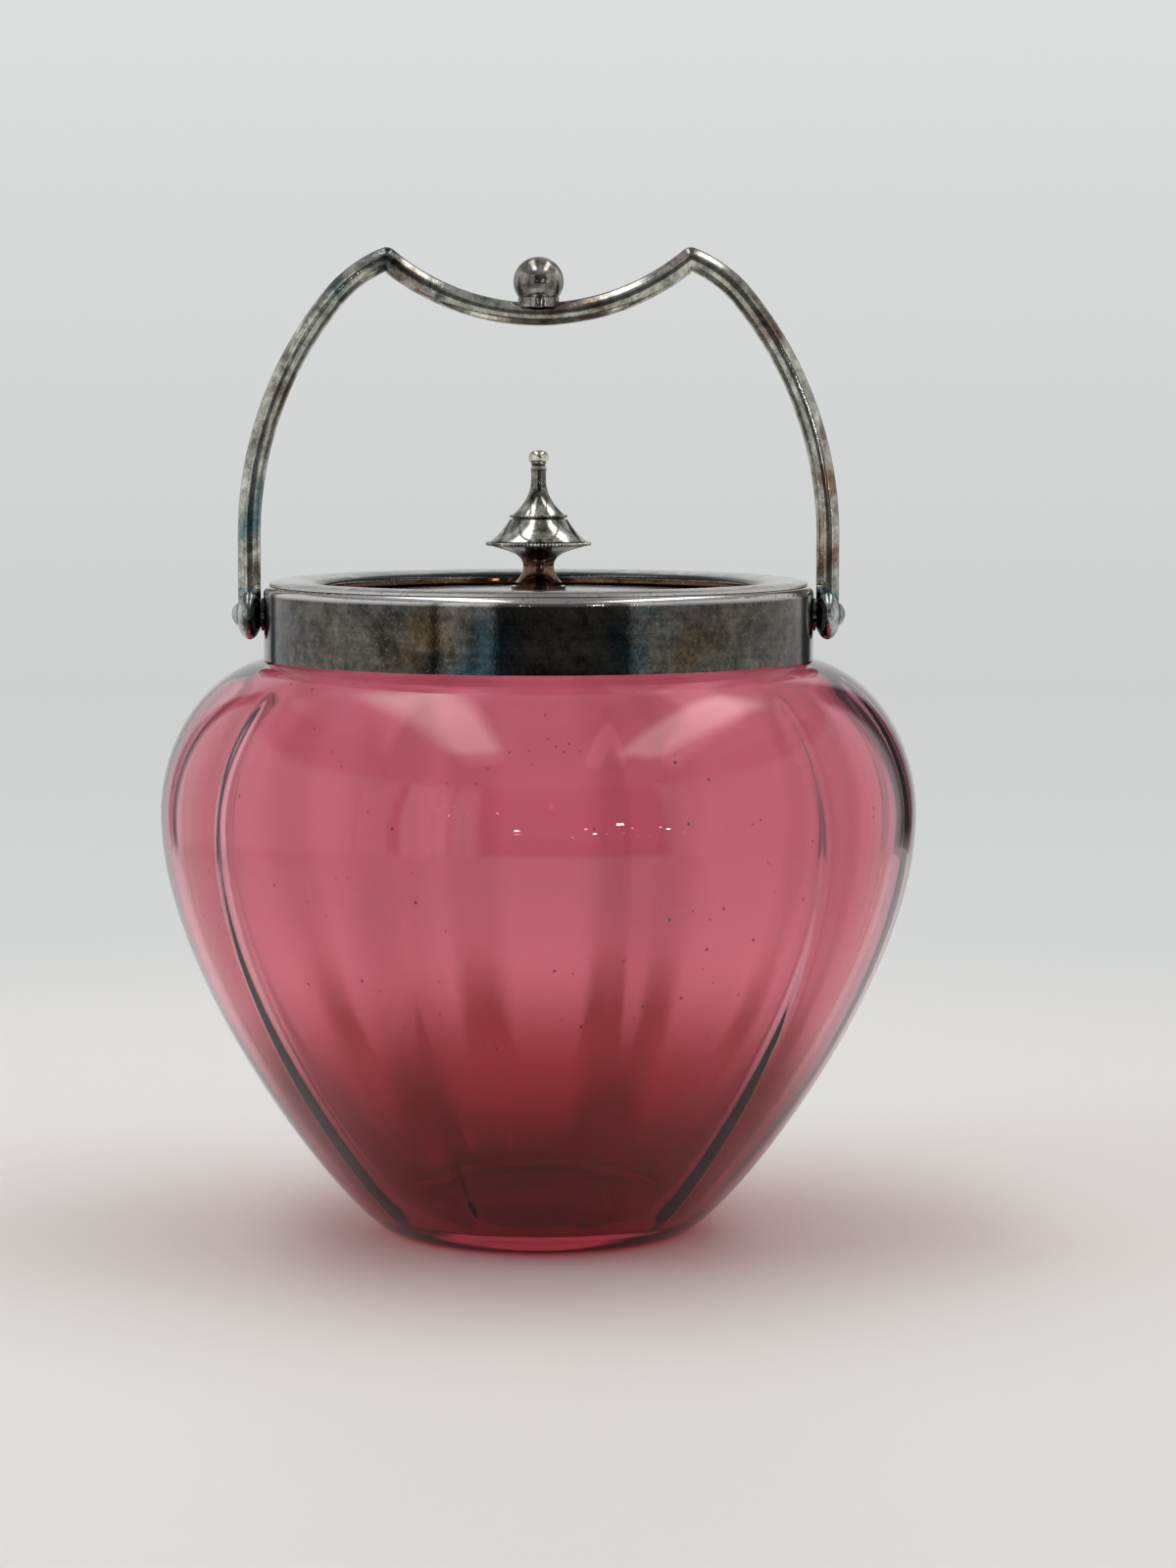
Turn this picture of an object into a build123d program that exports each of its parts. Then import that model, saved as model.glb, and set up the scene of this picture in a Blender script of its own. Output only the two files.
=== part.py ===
from build123d import *
import os
from math import cos, radians, sin, sqrt

# A Victorian style biscuit barrel: a blown, optic-panelled glass body, a plated collar bedded
# on its neck in plaster, a lift-off lid with a turned finial, and a swinging bail handle.
# Millimetres, +Z up, origin at the middle of the circle that the foot stands on.
# The handle's pivots lie on the X axis, so the barrel's front is towards -Y.

os.makedirs("parts", exist_ok=True)

# ---- glass body
belly_radius = 78.0       # outside, at the widest
belly_height = 86.0       # level of the widest circle
shoulder_rise = 32.5      # from the widest circle up to where the neck starts
neck_radius = 52.4        # outside of the neck
neck_height = 9.5         # from the shoulder to the ground top edge of the glass
neck_wall = 3.6           # glass at the neck
belly_wall = 4.6          # glass at the widest circle, between ribs
foot_radius = 29.3        # outer edge of the ring it stands on
foot_ring = 3.0           # width of that ring
heel_radius = 7.5         # rounding from the ring up into the side
heel_slope = 36.8         # degrees above level at which the side leaves the heel
heel_reach = 14.9         # how far the side keeps that slope before it bends up
belly_reach = 30.8        # how far below the belly the side starts to lean in
base_wall = 6.5           # glass at the heel, thicker than the side
kick_height = 3.6         # hollow pushed up under the foot
floor_crown = 3.2         # rise of the inside floor at its middle
neck_fillet = 1.2

# ---- optic panels blown into the inside of the glass
panel_count = 10
panel_shift = 14.0        # each panel is turned about its own axis, this far from the jar's
first_rib = 13.5          # degrees from the front to the first rib, towards +X

# ---- sheet metal mount
sheet = 0.65              # gauge of the spun sheet
seat_gap = 0.1            # between pieces that are bedded or soldered together
plaster_thickness = 3.4   # between the glass neck and the collar's wall
ledge_rise = 5.3          # from the glass edge up to the ledge that the lid rests on
collar_corner = 1.6       # outside rounding of the collar's shoulder
lip_depth = 8.6           # inner lip that lines the glass mouth, below the ledge

# ---- lid
lid_clearance = 0.4       # all round, between the lid's flange and the collar's lip
lid_seat_gap = 0.05       # under the lid's rim
rim_overhang = 1.25       # from the lid's outer edge to the collar's wall
rim_edge = 0.45           # height of the lid's outer edge
rim_crest = 1.15          # crest of the rim above the collar's ledge
roll_width = 7.0          # from the crest in to the inner edge of the roll
roll_drop = 1.8           # from the crest down to the lower edge of the roll
flange_depth = 7.6        # locating flange, below the rim's seat
pan_depth = 2.3           # sunk pan, below the collar's ledge, at its edge
pan_crown = 1.5           # rise of the pan at its middle
pan_corner = 1.0
roll_cover = 0.3          # how far the pan's wall hides up behind the roll
roll_overhang = 1.0       # how far the roll stands in over the pan's wall

# ---- finial, turned in sections on one stud
spool_foot_radius = 5.6
spool_foot_height = 0.55
spool_step_radius = 4.75
spool_step_height = 0.8
spool_waist_radius = 3.15
spool_waist_height = 4.7  # waist above the pan
spool_top_radius = 7.0
spool_height = 8.0
spool_flare = 1.7         # how far the spool keeps upright above its waist
flare_reach = 2.2         # how far in from its rim the flare has straightened out
bell_radius = 10.1        # edge of the bell, inside its beading
bell_edge = 0.75
bell_underside = 0.85     # rise of the underside from the spool to the edge
bell_top_radius = 6.0
bell_roof = 4.65          # height of the curved roof
roof_hollow = 0.45        # how far the roof hollows in from a straight cone
bead_radius = 0.38        # beading round the bell's edge
upper_bead_radius = 0.3
spire_groove = 0.3        # between the bell's top and the upper beading
spire_foot_radius = 5.35
spire_neck_radius = 1.55
spire_curve_height = 7.2
spire_neck_height = 1.9
spire_ring_radius = 1.7   # small ring round the top of the neck
spire_ring_height = 1.05
spire_throat_radius = 1.35  # between the ring and the ball
spire_ball_radius = 2.0
spire_ball_middle = 1.3   # throat up to the widest part of the ball
spire_ball_height = 3.1   # throat up to the top, so the ball is a little flattened
stud_radius = 1.2
stud_clearance = 0.1
stud_reach = 4.5          # how far the stud enters the spire
washer_radius = 3.6
washer_thickness = 0.6
nut_across_flats = 5.6
nut_height = 2.2
stud_tail = 0.7           # stud that shows below the nut

# ---- bail handle
rod_radius = 2.35
pivot_drop = 6.1          # pins below the collar's ledge
upright_height = 15.8     # from the pins up to where the arms start to lean in
arm_bend_radius = 77.0
arm_bend_angle = 39.5     # degrees
peak_bend_radius = 26.3
peak_bend_angle = 29.3    # degrees more, up to the mitred peak
bar_dip = 11.25           # how far the bar dips between the peaks
ball_radius = 5.15
ball_saddle = 0.95        # how far the ball is let down over the bar
cup_radius = 4.2
cup_rise = 1.0            # cup above the top of the bar
cup_skirt = 0.9           # cup below the top of the bar
cup_bore = 3.1

# ---- pivots
knuckle_radius = 5.2      # across the pin
knuckle_shoulder = 0.3    # neck above the round of the knuckle, where the rod is soldered on
knuckle_flat = 0.05       # dressed faces beyond the rod, on each side
knuckle_dressing = 0.3    # taken off the round of the knuckle at each dressed face
pin_radius = 1.4
running_clearance = 0.05
pin_head_radius = 2.3
pin_head_height = 1.15
side_play = 0.1           # each side of the knuckle
pin_tail_radius = 2.1
pin_tail_height = 0.9
boss_radius = 3.4
boss_thickness = 0.45     # outside the collar's wall
pocket_clearance = 0.4    # room round the pin's tail in the plaster

# ---- worked out from the sizes above
shoulder_height = belly_height + shoulder_rise
neck_top = shoulder_height + neck_height
collar_top = neck_top + ledge_rise
collar_inner_radius = neck_radius + plaster_thickness
collar_radius = collar_inner_radius + sheet
mouth_radius = neck_radius - neck_wall
inner_belly_radius = belly_radius - belly_wall
lip_outer_radius = mouth_radius - 2 * seat_gap
lip_inner_radius = lip_outer_radius - sheet
flange_outer_radius = lip_inner_radius - lid_clearance
flange_inner_radius = flange_outer_radius - sheet
pan_outer_radius = flange_inner_radius - seat_gap / 2
pan_inner_radius = pan_outer_radius - sheet
lid_seat = collar_top + lid_seat_gap
rim_outer_radius = collar_radius - rim_overhang
crest_height = collar_top + rim_crest
roll_inner_radius = pan_inner_radius - roll_overhang
crest_radius = roll_inner_radius + roll_width
roll_bottom = crest_height - roll_drop
pan_edge_level = collar_top - pan_depth
pan_top_level = pan_edge_level + pan_crown
slope_x = cos(radians(heel_slope))
slope_z = sin(radians(heel_slope))
heel_x = foot_radius + heel_radius * slope_z
heel_z = heel_radius * (1 - slope_x)
floor_x = heel_x - base_wall * slope_z
floor_z = heel_z + base_wall * slope_x
shoulder_reach = belly_radius - neck_radius
collar_seat_share = (collar_inner_radius - neck_radius) / shoulder_reach
collar_bottom = belly_height + shoulder_rise * sqrt(1 - collar_seat_share**2) + seat_gap
pivot_height = collar_top - pivot_drop
boss_face = collar_radius + boss_thickness
knuckle_face = rod_radius + knuckle_flat
knuckle_half_width = knuckle_face + knuckle_dressing
knuckle_neck = knuckle_radius + knuckle_shoulder
arm_spread = boss_face + side_play + knuckle_face
pin_head_face = arm_spread + knuckle_face + side_play
pin_end = collar_inner_radius - seat_gap - pin_tail_height
stud_bore = stud_radius + stud_clearance


def save(piece, name):
    piece.part.label = name
    export_step(piece.part, f"parts/{name}.step")


# ================================================================ glass body
# One panel of the hollow, turned about an axis that is shifted towards the panel.
with BuildPart() as panel:
    with BuildSketch(Plane.XZ):
        with BuildLine():
            Line((panel_shift, floor_z), (floor_x, floor_z))
            Bezier(
                (floor_x, floor_z),
                (floor_x + heel_reach * slope_x, floor_z + heel_reach * slope_z),
                (inner_belly_radius, belly_height - belly_reach),
                (inner_belly_radius, belly_height),
            )
            inner_shoulder = EllipticalCenterArc(
                (mouth_radius, belly_height),
                x_radius=inner_belly_radius - mouth_radius,
                y_radius=shoulder_rise - neck_wall,
                start_angle=0,
                arc_size=90,
            )
            Polyline(inner_shoulder @ 1, (panel_shift, (inner_shoulder @ 1).Y), (panel_shift, floor_z))
        make_face()
    revolve(axis=Axis((panel_shift, 0, 0), (0, 0, 1)))

# The floor swells a little towards its middle.
with BuildPart() as floor_swell:
    with BuildSketch(Plane.XZ):
        with BuildLine():
            Line((0, floor_z - floor_crown), (0, floor_z + floor_crown))
            TangentArc((0, floor_z + floor_crown), (floor_x, floor_z), tangent=(1, 0))
            Polyline((floor_x, floor_z), (floor_x, floor_z - floor_crown), (0, floor_z - floor_crown))
        make_face()
    revolve(axis=Axis.Z)

# A panel's middle lies half a panel away from the ribs on each side of it.
with BuildPart() as hollow:
    with PolarLocations(0, panel_count, start_angle=first_rib - 90 + 180 / panel_count):
        add(panel.part)
    add(floor_swell.part, mode=Mode.SUBTRACT)
    with BuildSketch(Plane.XY.offset(belly_height)):
        Circle(mouth_radius)
    extrude(amount=neck_top - belly_height)

with BuildPart() as glass_jar:
    with BuildSketch(Plane.XZ):
        with BuildLine():
            TangentArc((0, kick_height), (foot_radius - foot_ring, 0), tangent=(1, 0))
            Line((foot_radius - foot_ring, 0), (foot_radius, 0))
            heel = JernArc((foot_radius, 0), (1, 0), heel_radius, heel_slope)
            Bezier(
                heel @ 1,
                (heel_x + heel_reach * slope_x, heel_z + heel_reach * slope_z),
                (belly_radius, belly_height - belly_reach),
                (belly_radius, belly_height),
            )
            shoulder = EllipticalCenterArc(
                (neck_radius, belly_height),
                x_radius=shoulder_reach,
                y_radius=shoulder_rise,
                start_angle=0,
                arc_size=90,
            )
            Polyline(shoulder @ 1, (neck_radius, neck_top), (0, neck_top), (0, kick_height))
        make_face()
    revolve(axis=Axis.Z)
    neck_corner = glass_jar.edges().filter_by(GeomType.CIRCLE).group_by(Axis.Z)[-2]
    fillet(neck_corner, neck_fillet)
    add(hollow.part, mode=Mode.SUBTRACT)
save(glass_jar, "glass_jar")

# ================================================================ collar
# Spun from one sheet: wall, rounded shoulder, flat ledge and a lip that lines the mouth.
with BuildPart() as collar_band:
    with BuildSketch(Plane.XZ):
        with BuildLine():
            Polyline(
                (collar_inner_radius, collar_bottom),
                (collar_radius, collar_bottom),
                (collar_radius, collar_top - collar_corner),
            )
            RadiusArc(
                (collar_radius, collar_top - collar_corner),
                (collar_radius - collar_corner, collar_top),
                -collar_corner,
            )
            Polyline(
                (collar_radius - collar_corner, collar_top),
                (lip_inner_radius, collar_top),
                (lip_inner_radius, collar_top - lip_depth),
                (lip_outer_radius, collar_top - lip_depth),
                (lip_outer_radius, collar_top - sheet),
                (collar_radius - collar_corner, collar_top - sheet),
            )
            RadiusArc(
                (collar_radius - collar_corner, collar_top - sheet),
                (collar_inner_radius, collar_top - collar_corner),
                collar_corner - sheet,
            )
            Line((collar_inner_radius, collar_top - collar_corner), (collar_inner_radius, collar_bottom))
        make_face()
    revolve(axis=Axis.Z)
    with BuildSketch(Plane.YZ.offset(-collar_radius)):
        with Locations((0, pivot_height)):
            Circle(pin_radius + seat_gap / 2)
    extrude(amount=2 * collar_radius, mode=Mode.SUBTRACT)
save(collar_band, "collar_band")

# Plaster fills the space between the neck and the collar, and covers the glass edge.
with BuildPart() as plaster_bed:
    with BuildSketch(Plane.XZ):
        Polygon(
            (neck_radius + seat_gap, shoulder_height + neck_fillet),
            (collar_inner_radius - seat_gap, shoulder_height + neck_fillet),
            (collar_inner_radius - seat_gap, collar_top - collar_corner - seat_gap),
            (collar_radius - collar_corner - seat_gap, collar_top - sheet - seat_gap),
            (lip_outer_radius + seat_gap, collar_top - sheet - seat_gap),
            (lip_outer_radius + seat_gap, neck_top + seat_gap),
            (neck_radius + seat_gap, neck_top + seat_gap),
            align=None,
        )
    revolve(axis=Axis.Z)
    for side in (1, -1):
        with BuildSketch(Plane.YZ.offset(side * (pin_end - pocket_clearance))):
            with Locations((0, pivot_height)):
                Circle(pin_tail_radius + pocket_clearance)
        extrude(amount=side * (pin_tail_height + pocket_clearance), mode=Mode.SUBTRACT)
save(plaster_bed, "plaster_bed")

# ================================================================ pivots
# Boss: a small washer whose back is dished to the collar.
with BuildPart() as right_boss:
    with BuildSketch(Plane.YZ.offset(collar_inner_radius)):
        with Locations((0, pivot_height)):
            Circle(boss_radius)
            Circle(pin_radius + seat_gap / 2, mode=Mode.SUBTRACT)
    extrude(amount=boss_face - collar_inner_radius)
    with BuildSketch(Plane.XY.offset(collar_bottom)):
        Circle(collar_radius)
    extrude(amount=collar_top - collar_bottom, mode=Mode.SUBTRACT)

# Pin: domed head outside, shank through knuckle, boss and collar, tail closed up inside.
with BuildPart() as right_pin:
    with BuildSketch(Plane.XZ):
        with BuildLine():
            Polyline(
                (pin_end, pivot_height),
                (pin_end, pivot_height + pin_tail_radius),
                (pin_end + pin_tail_height, pivot_height + pin_tail_radius),
                (pin_end + pin_tail_height, pivot_height + pin_radius),
                (pin_head_face, pivot_height + pin_radius),
                (pin_head_face, pivot_height + pin_head_radius),
            )
            TangentArc(
                (pin_head_face + pin_head_height, pivot_height),
                (pin_head_face, pivot_height + pin_head_radius),
                tangent=(0, 1),
            )
            Line((pin_head_face + pin_head_height, pivot_height), (pin_end, pivot_height))
        make_face()
    revolve(axis=Axis((0, 0, pivot_height), (1, 0, 0)))

# ================================================================ bail handle
# Knuckle: a flattened ball with dressed faces, and a short neck that takes the rod.
with BuildPart() as right_knuckle:
    with BuildSketch(Plane.XZ):
        with Locations((arm_spread, pivot_height)):
            Ellipse(knuckle_half_width, knuckle_radius)
            Rectangle(2 * knuckle_face, 2 * knuckle_radius, mode=Mode.INTERSECT)
            Rectangle(
                2 * knuckle_face, knuckle_radius, align=(Align.CENTER, Align.MAX), mode=Mode.SUBTRACT
            )
    revolve(axis=Axis((0, 0, pivot_height), (1, 0, 0)))
    with BuildSketch(Plane.XY.offset(pivot_height)):
        with Locations((arm_spread, 0)):
            Circle(rod_radius)
    extrude(amount=knuckle_neck)
    with BuildSketch(Plane.YZ.offset(arm_spread - knuckle_half_width)):
        with Locations((0, pivot_height)):
            Circle(pin_radius + running_clearance)
    extrude(amount=2 * knuckle_half_width, mode=Mode.SUBTRACT)

# Arm: upright, long bend, tighter bend to the peak. A ball fills the outside of the mitre,
# and the arm and the bar are cut on the same upright plane.
with BuildPart() as right_arm:
    with BuildLine(Plane.XZ) as arm_line:
        upright = Line(
            (arm_spread, pivot_height + knuckle_neck), (arm_spread, pivot_height + upright_height)
        )
        long_bend = JernArc(upright @ 1, (0, 1), arm_bend_radius, arm_bend_angle)
        peak_bend = JernArc(long_bend @ 1, long_bend % 1, peak_bend_radius, peak_bend_angle)
    with BuildSketch(Plane.XY.offset(pivot_height + knuckle_neck)):
        with Locations((arm_spread, 0)):
            Circle(rod_radius)
    sweep(path=arm_line.line)
    with Locations(peak_bend @ 1):
        Sphere(rod_radius)
    split(bisect_by=Plane.YZ.offset((peak_bend @ 1).X), keep=Keep.TOP)

# Bar: one arc that dips between the peaks.
peak_spread = (peak_bend @ 1).X
peak_height = (peak_bend @ 1).Z
bar_height = peak_height - bar_dip
bar_top = bar_height + rod_radius
with BuildPart() as handle_centre_bar:
    with BuildLine(Plane.XZ) as bar_line:
        ThreePointArc((-peak_spread, peak_height), (0, bar_height), (peak_spread, peak_height))
    with BuildSketch(bar_line.line ^ 0):
        Circle(rod_radius)
    sweep(path=bar_line.line)
    with Locations((-peak_spread, 0, peak_height), (peak_spread, 0, peak_height)):
        Sphere(rod_radius)
    split(bisect_by=Plane.YZ.offset(peak_spread), keep=Keep.BOTTOM)
    split(bisect_by=Plane.YZ.offset(-peak_spread), keep=Keep.TOP)
save(handle_centre_bar, "handle_centre_bar")

# Ball: hollowed underneath to sit down over the bar.
with BuildPart() as handle_ball:
    with Locations((0, 0, bar_top - ball_saddle + ball_radius)):
        Sphere(ball_radius)
    add(handle_centre_bar.part, mode=Mode.SUBTRACT)
save(handle_ball, "handle_ball")

# Cup round the foot of the ball, hollowed to fit the ball and the bar.
with BuildPart() as handle_ball_cup:
    with BuildSketch(Plane.XY.offset(bar_top - cup_skirt)):
        Circle(cup_radius)
        Circle(cup_bore, mode=Mode.SUBTRACT)
    extrude(amount=cup_skirt + cup_rise)
    add(handle_ball.part, mode=Mode.SUBTRACT)
    add(handle_centre_bar.part, mode=Mode.SUBTRACT)
save(handle_ball_cup, "handle_ball_cup")

# The left side is the right side mirrored.
right_pieces = {
    "pivot_boss": right_boss,
    "pivot_pin": right_pin,
    "handle_knuckle": right_knuckle,
    "handle_arm": right_arm,
}
for name, right_piece in right_pieces.items():
    save(right_piece, f"right_{name}")
    with BuildPart() as left_piece:
        mirror(right_piece.part, about=Plane.YZ)
    save(left_piece, f"left_{name}")

# ================================================================ lid
# Rim: a spun ring, flat where it rests, rising to a crest and rolled over inside.
with BuildPart() as lid_rim:
    with BuildSketch(Plane.XZ):
        with BuildLine():
            Line((rim_outer_radius, lid_seat), (rim_outer_radius, lid_seat + rim_edge))
            TangentArc(
                (crest_radius, crest_height), (rim_outer_radius, lid_seat + rim_edge), tangent=(1, 0)
            )
            EllipticalCenterArc(
                (crest_radius, roll_bottom),
                x_radius=roll_width,
                y_radius=roll_drop,
                start_angle=90,
                arc_size=90,
            )
            Line((roll_inner_radius, roll_bottom), (roll_inner_radius + sheet, roll_bottom))
            EllipticalCenterArc(
                (crest_radius, roll_bottom),
                x_radius=roll_width - sheet,
                y_radius=roll_drop - sheet,
                start_angle=90,
                arc_size=90,
            )
            TangentArc(
                (crest_radius, crest_height - sheet), (rim_outer_radius - sheet, lid_seat), tangent=(1, 0)
            )
            Line((rim_outer_radius - sheet, lid_seat), (rim_outer_radius, lid_seat))
        make_face()
    revolve(axis=Axis.Z)
save(lid_rim, "lid_rim")

# Pan: the sunk middle of the lid, a shallow dome inside an upright wall.
with BuildPart() as lid_pan:
    with BuildSketch(Plane.XZ):
        with BuildLine():
            Line((stud_bore, pan_top_level), (spool_foot_radius, pan_top_level))
            dome = TangentArc(
                (spool_foot_radius, pan_top_level), (pan_inner_radius, pan_edge_level), tangent=(1, 0)
            )
            Polyline(
                dome @ 1,
                (pan_inner_radius, roll_bottom + roll_cover),
                (pan_outer_radius, roll_bottom + roll_cover),
                (pan_outer_radius, pan_edge_level - sheet),
                (pan_inner_radius, pan_edge_level - sheet),
            )
            TangentArc(
                (spool_foot_radius, pan_top_level - sheet),
                (pan_inner_radius, pan_edge_level - sheet),
                tangent=(1, 0),
            )
            Polyline(
                (spool_foot_radius, pan_top_level - sheet),
                (stud_bore, pan_top_level - sheet),
                (stud_bore, pan_top_level),
            )
        make_face()
    revolve(axis=Axis.Z)
    wall_circles = lid_pan.edges().filter_by(GeomType.CIRCLE)
    inside_corner = wall_circles.filter_by(lambda edge: abs(edge.center().Z - pan_edge_level) < seat_gap)
    fillet(inside_corner.sort_by(SortBy.RADIUS)[-1], pan_corner)
save(lid_pan, "lid_pan")

# Flange: a plain ring soldered round the pan, which keeps the lid central in the collar.
flange_top = roll_bottom + roll_cover
with BuildPart() as lid_flange:
    with BuildSketch(Plane.XY.offset(lid_seat - flange_depth)):
        Circle(flange_outer_radius)
        Circle(flange_inner_radius, mode=Mode.SUBTRACT)
    extrude(amount=flange_top - (lid_seat - flange_depth))
save(lid_flange, "lid_flange")

# ================================================================ finial
spool_step_top = pan_top_level + spool_foot_height + spool_step_height
spool_waist = pan_top_level + spool_waist_height
spool_top = pan_top_level + spool_height
bell_edge_bottom = spool_top + bell_underside
underside_slope = bell_underside / (bell_radius - spool_top_radius)
with BuildPart() as finial_spool:
    with BuildSketch(Plane.XZ):
        with BuildLine():
            Polyline(
                (stud_bore, pan_top_level),
                (spool_foot_radius, pan_top_level),
                (spool_foot_radius, pan_top_level + spool_foot_height),
                (spool_step_radius, pan_top_level + spool_foot_height),
                (spool_step_radius, spool_step_top),
            )
            TangentArc(
                (spool_waist_radius, spool_waist), (spool_step_radius, spool_step_top), tangent=(0, -1)
            )
            Bezier(
                (spool_waist_radius, spool_waist),
                (spool_waist_radius, spool_waist + spool_flare),
                (spool_top_radius - flare_reach, spool_top - flare_reach * underside_slope),
                (spool_top_radius, spool_top),
            )
            Polyline((spool_top_radius, spool_top), (stud_bore, spool_top), (stud_bore, pan_top_level))
        make_face()
    revolve(axis=Axis.Z)
save(finial_spool, "finial_spool")

bell_edge_top = bell_edge_bottom + bell_edge
bell_top = bell_edge_top + bell_roof
roof_middle = ((bell_radius + bell_top_radius) / 2, (bell_edge_top + bell_top) / 2)
with BuildPart() as finial_bell:
    with BuildSketch(Plane.XZ):
        with BuildLine():
            Polyline(
                (stud_bore, spool_top),
                (spool_top_radius, spool_top),
                (bell_radius, bell_edge_bottom),
                (bell_radius, bell_edge_top),
            )
            ThreePointArc(
                (bell_radius, bell_edge_top),
                (roof_middle[0] - roof_hollow, roof_middle[1]),
                (bell_top_radius, bell_top),
            )
            Polyline((bell_top_radius, bell_top), (stud_bore, bell_top), (stud_bore, spool_top))
        make_face()
    revolve(axis=Axis.Z)
save(finial_bell, "finial_bell")

with BuildPart() as bell_beading:
    with BuildSketch(Plane.XZ):
        with Locations((bell_radius + bead_radius, (bell_edge_bottom + bell_edge_top) / 2)):
            Circle(bead_radius)
    revolve(axis=Axis.Z)
save(bell_beading, "bell_beading")

# The upper beading goes round the foot of the spire, a groove above the bell's top.
spire_bottom = bell_top
spire_shoulder = spire_bottom + spire_groove + 2 * upper_bead_radius
with BuildPart() as spire_beading:
    with BuildSketch(Plane.XZ):
        with Locations((spire_foot_radius + upper_bead_radius, spire_shoulder - upper_bead_radius)):
            Circle(upper_bead_radius)
    revolve(axis=Axis.Z)
save(spire_beading, "spire_beading")

spire_neck_bottom = spire_shoulder + spire_curve_height
spire_ring_bottom = spire_neck_bottom + spire_neck_height
spire_throat = spire_ring_bottom + spire_ring_height
with BuildPart() as finial_spire:
    with BuildSketch(Plane.XZ):
        with BuildLine():
            Polyline((0, spire_bottom), (spire_foot_radius, spire_bottom), (spire_foot_radius, spire_shoulder))
            Spline(
                (spire_foot_radius, spire_shoulder),
                (spire_neck_radius, spire_neck_bottom),
                tangents=[(-1, 1), (0, 1)],
            )
            Polyline(
                (spire_neck_radius, spire_neck_bottom),
                (spire_neck_radius, spire_ring_bottom),
                (spire_ring_radius, spire_ring_bottom),
                (spire_throat_radius, spire_throat),
            )
            Spline(
                (spire_throat_radius, spire_throat),
                (spire_ball_radius, spire_throat + spire_ball_middle),
                (0, spire_throat + spire_ball_height),
                tangents=[(1, 1), (-1, 0)],
            )
            Line((0, spire_throat + spire_ball_height), (0, spire_bottom))
        make_face()
    revolve(axis=Axis.Z)
    with BuildSketch(Plane.XY.offset(spire_bottom)):
        Circle(stud_bore)
    extrude(amount=stud_reach + stud_clearance, mode=Mode.SUBTRACT)
save(finial_spire, "finial_spire")

# Under the pan the stud carries a washer and a hexagon nut.
washer_bottom = pan_top_level - sheet - washer_thickness
nut_bottom = washer_bottom - nut_height
with BuildPart() as finial_washer:
    with BuildSketch(Plane.XY.offset(washer_bottom)):
        Circle(washer_radius)
        Circle(stud_bore, mode=Mode.SUBTRACT)
    extrude(amount=washer_thickness)
save(finial_washer, "finial_washer")

with BuildPart() as finial_nut:
    with BuildSketch(Plane.XY.offset(nut_bottom)):
        RegularPolygon(nut_across_flats / 2, 6, major_radius=False)
        Circle(stud_bore, mode=Mode.SUBTRACT)
    extrude(amount=nut_height)
save(finial_nut, "finial_nut")

with BuildPart() as finial_stud:
    with BuildSketch(Plane.XY.offset(nut_bottom - stud_tail)):
        Circle(stud_radius)
    extrude(amount=spire_bottom + stud_reach - (nut_bottom - stud_tail))
save(finial_stud, "finial_stud")
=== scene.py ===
import math
import random

import bmesh
import bpy
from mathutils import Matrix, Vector


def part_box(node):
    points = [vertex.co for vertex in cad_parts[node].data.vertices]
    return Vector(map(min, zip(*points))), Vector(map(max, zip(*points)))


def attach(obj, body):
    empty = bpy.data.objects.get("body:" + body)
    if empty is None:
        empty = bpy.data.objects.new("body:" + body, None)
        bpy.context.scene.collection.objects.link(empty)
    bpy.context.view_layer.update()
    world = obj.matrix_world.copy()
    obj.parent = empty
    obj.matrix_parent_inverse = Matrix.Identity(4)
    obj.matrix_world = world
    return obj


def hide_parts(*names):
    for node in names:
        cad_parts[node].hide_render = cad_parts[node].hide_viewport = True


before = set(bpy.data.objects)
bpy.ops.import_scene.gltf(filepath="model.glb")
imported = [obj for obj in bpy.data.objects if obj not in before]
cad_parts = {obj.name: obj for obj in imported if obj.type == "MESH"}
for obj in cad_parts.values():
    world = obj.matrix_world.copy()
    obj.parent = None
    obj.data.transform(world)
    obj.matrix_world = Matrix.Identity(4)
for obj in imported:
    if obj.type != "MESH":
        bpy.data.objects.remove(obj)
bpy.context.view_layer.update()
random.seed(11)
print("frame loaded")


def linear(hexColour):
    parts = [int(hexColour[i:i + 2], 16) / 255 for i in (1, 3, 5)]
    return [c / 12.92 if c <= 0.04045 else ((c + 0.055) / 1.055) ** 2.4 for c in parts] + [1.0]


def addNode(tree, kind, settings=None, links=None):
    # settings are attributes or socket values, links are socket: (node, output)
    node = tree.nodes.new("ShaderNode" + kind)
    for key, value in (settings or {}).items():
        if isinstance(key, int) or key in node.inputs:
            node.inputs[key].default_value = value
        else:
            setattr(node, key, value)
    for key, (source, output) in (links or {}).items():
        tree.links.new(source.outputs[output], node.inputs[key])
    return node


def fillRamp(ramp, stops):
    # stops are (place, colour) in rising order
    points = ramp.color_ramp.elements
    while len(points) < len(stops):
        points.new(0.5)
    for point, (place, colour) in zip(points, stops):
        point.position = place
        point.color = colour


def newMaterial(name):
    material = bpy.data.materials.new(name)
    material.use_nodes = True
    material.node_tree.nodes.clear()
    return material


def dress(obj, *materials):
    obj.data.materials.clear()
    for material in materials:
        obj.data.materials.append(material)


def dropSelection():
    if bpy.context.mode != "OBJECT":
        bpy.ops.object.mode_set(mode="OBJECT")
    bpy.ops.object.select_all(action="DESELECT")


dropSelection()

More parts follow.
